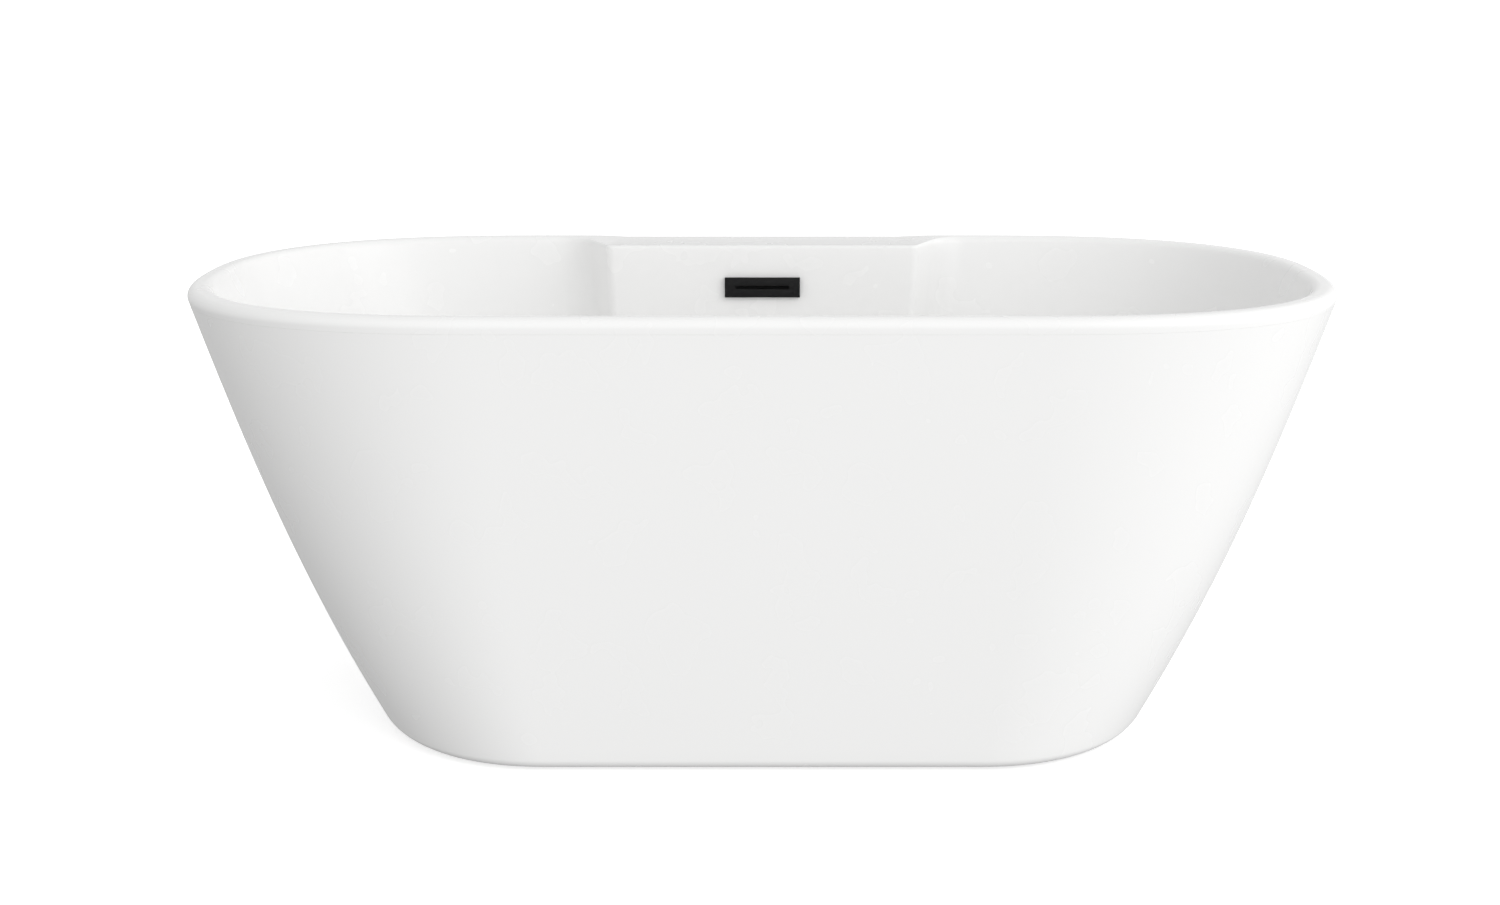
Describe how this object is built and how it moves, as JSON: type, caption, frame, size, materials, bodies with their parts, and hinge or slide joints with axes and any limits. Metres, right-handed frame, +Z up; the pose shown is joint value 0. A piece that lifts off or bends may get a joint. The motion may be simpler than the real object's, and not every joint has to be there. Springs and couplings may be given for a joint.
{
  "type": "freestanding bathtub",
  "caption": "Freestanding white acrylic bathtub with oval plan, tapering skirt, raised-side tap deck, black slot overflow, press-up waste and levelling feet.",
  "frame": {"origin": "on the floor under the middle of the tub's box, at the undersides of the levelling pads", "axes": "+X along the tub, +Y towards the side with the tap deck and overflow, +Z up"},
  "size_m": [1.5, 0.75, 0.585],
  "materials": {
    "white_acrylic": "high-gloss white sanitary acrylic",
    "resin_board": "plywood sealed with glass-filled resin, rough",
    "painted_steel": "black powder coat, satin",
    "zinc_steel": "bright zinc plating, slightly dull",
    "black_plastic": "moulded black plastic, fine grain",
    "grey_plastic": "moulded grey waste plastic",
    "black_metal": "matte black coating on brass",
    "rubber_pad": "black rubber, dull",
    "seal_rubber": "black seal rubber, smooth",
    "brass": "turned brass"
  },
  "bodies": {
    "tub": {"basin": "white_acrylic", "skirt": "white_acrylic", "base_board": "resin_board", "rail_front": "painted_steel", "rail_back": "painted_steel", "cross_end_left": "painted_steel", "cross_end_right": "painted_steel", "cross_middle_left": "painted_steel", "cross_middle_right": "painted_steel", "rail_cap_front_left": "black_plastic", "skirt_bracket_front_left": "zinc_steel", "bracket_bolt_front_left": "zinc_steel", "foot_nut_front_left": "zinc_steel", "foot_lock_nut_front_left": "zinc_steel", "rail_cap_front_right": "black_plastic", "skirt_bracket_front_right": "zinc_steel", "bracket_bolt_front_right": "zinc_steel", "foot_nut_front_right": "zinc_steel", "foot_lock_nut_front_right": "zinc_steel", "rail_cap_back_left": "black_plastic", "skirt_bracket_back_left": "zinc_steel", "bracket_bolt_back_left": "zinc_steel", "foot_nut_back_left": "zinc_steel", "foot_lock_nut_back_left": "zinc_steel", "rail_cap_back_right": "black_plastic", "skirt_bracket_back_right": "zinc_steel", "bracket_bolt_back_right": "zinc_steel", "foot_nut_back_right": "zinc_steel", "foot_lock_nut_back_right": "zinc_steel", "drain_flange": "black_metal", "overflow_cover": "black_metal", "drain_gasket": "seal_rubber", "tail_washer": "seal_rubber", "overflow_gasket": "seal_rubber", "waste_shoe": "grey_plastic", "tail_nut": "grey_plastic", "tailpiece": "grey_plastic", "overflow_pipe": "grey_plastic", "pipe_nut_lower": "grey_plastic", "overflow_plate": "black_plastic", "overflow_body": "black_plastic", "pipe_nut_upper": "black_plastic", "plug_sleeve": "brass", "plug_spring": "zinc_steel", "overflow_screw_left": "zinc_steel", "overflow_screw_right": "zinc_steel"},
    "plug": {"plug_cap": "black_metal", "plug_seal": "seal_rubber", "plug_plunger": "brass"},
    "pad_front_left": {"foot_pad_front_left": "rubber_pad"},
    "stem_front_left": {"foot_stem_front_left": "zinc_steel"},
    "pad_front_right": {"foot_pad_front_right": "rubber_pad"},
    "stem_front_right": {"foot_stem_front_right": "zinc_steel"},
    "pad_back_left": {"foot_pad_back_left": "rubber_pad"},
    "stem_back_left": {"foot_stem_back_left": "zinc_steel"},
    "pad_back_right": {"foot_pad_back_right": "rubber_pad"},
    "stem_back_right": {"foot_stem_back_right": "zinc_steel"}
  },
  "joints": [
    {"name": "plug_lift", "type": "slide", "parent": "tub", "child": "plug", "axis": [0, 0, 1], "range_m": [0, 0.01]},
    {"name": "foot_height_front_left", "type": "slide", "parent": "tub", "child": "pad_front_left", "axis": [0, 0, -1], "range_m": [-0.002, 0.015]},
    {"name": "foot_turn_front_left", "type": "hinge", "parent": "pad_front_left", "child": "stem_front_left", "pos_m": [-0.345, -0.15, 0.02], "axis": [0, 0, -1], "range_deg": [-412, 3087]},
    {"name": "foot_height_front_right", "type": "slide", "parent": "tub", "child": "pad_front_right", "axis": [0, 0, -1], "range_m": [-0.002, 0.015]},
    {"name": "foot_turn_front_right", "type": "hinge", "parent": "pad_front_right", "child": "stem_front_right", "pos_m": [0.345, -0.15, 0.02], "axis": [0, 0, -1], "range_deg": [-412, 3087]},
    {"name": "foot_height_back_left", "type": "slide", "parent": "tub", "child": "pad_back_left", "axis": [0, 0, -1], "range_m": [-0.002, 0.015]},
    {"name": "foot_turn_back_left", "type": "hinge", "parent": "pad_back_left", "child": "stem_back_left", "pos_m": [-0.345, 0.15, 0.02], "axis": [0, 0, -1], "range_deg": [-412, 3087]},
    {"name": "foot_height_back_right", "type": "slide", "parent": "tub", "child": "pad_back_right", "axis": [0, 0, -1], "range_m": [-0.002, 0.015]},
    {"name": "foot_turn_back_right", "type": "hinge", "parent": "pad_back_right", "child": "stem_back_right", "pos_m": [0.345, 0.15, 0.02], "axis": [0, 0, -1], "range_deg": [-412, 3087]}
  ],
  "couplings": [
    {"joint": "foot_turn_front_left", "follows": "foot_height_front_left", "rad_per_m": 3590.4},
    {"joint": "foot_turn_front_right", "follows": "foot_height_front_right", "rad_per_m": 3590.4},
    {"joint": "foot_turn_back_left", "follows": "foot_height_back_left", "rad_per_m": 3590.4},
    {"joint": "foot_turn_back_right", "follows": "foot_height_back_right", "rad_per_m": 3590.4}
  ]
}
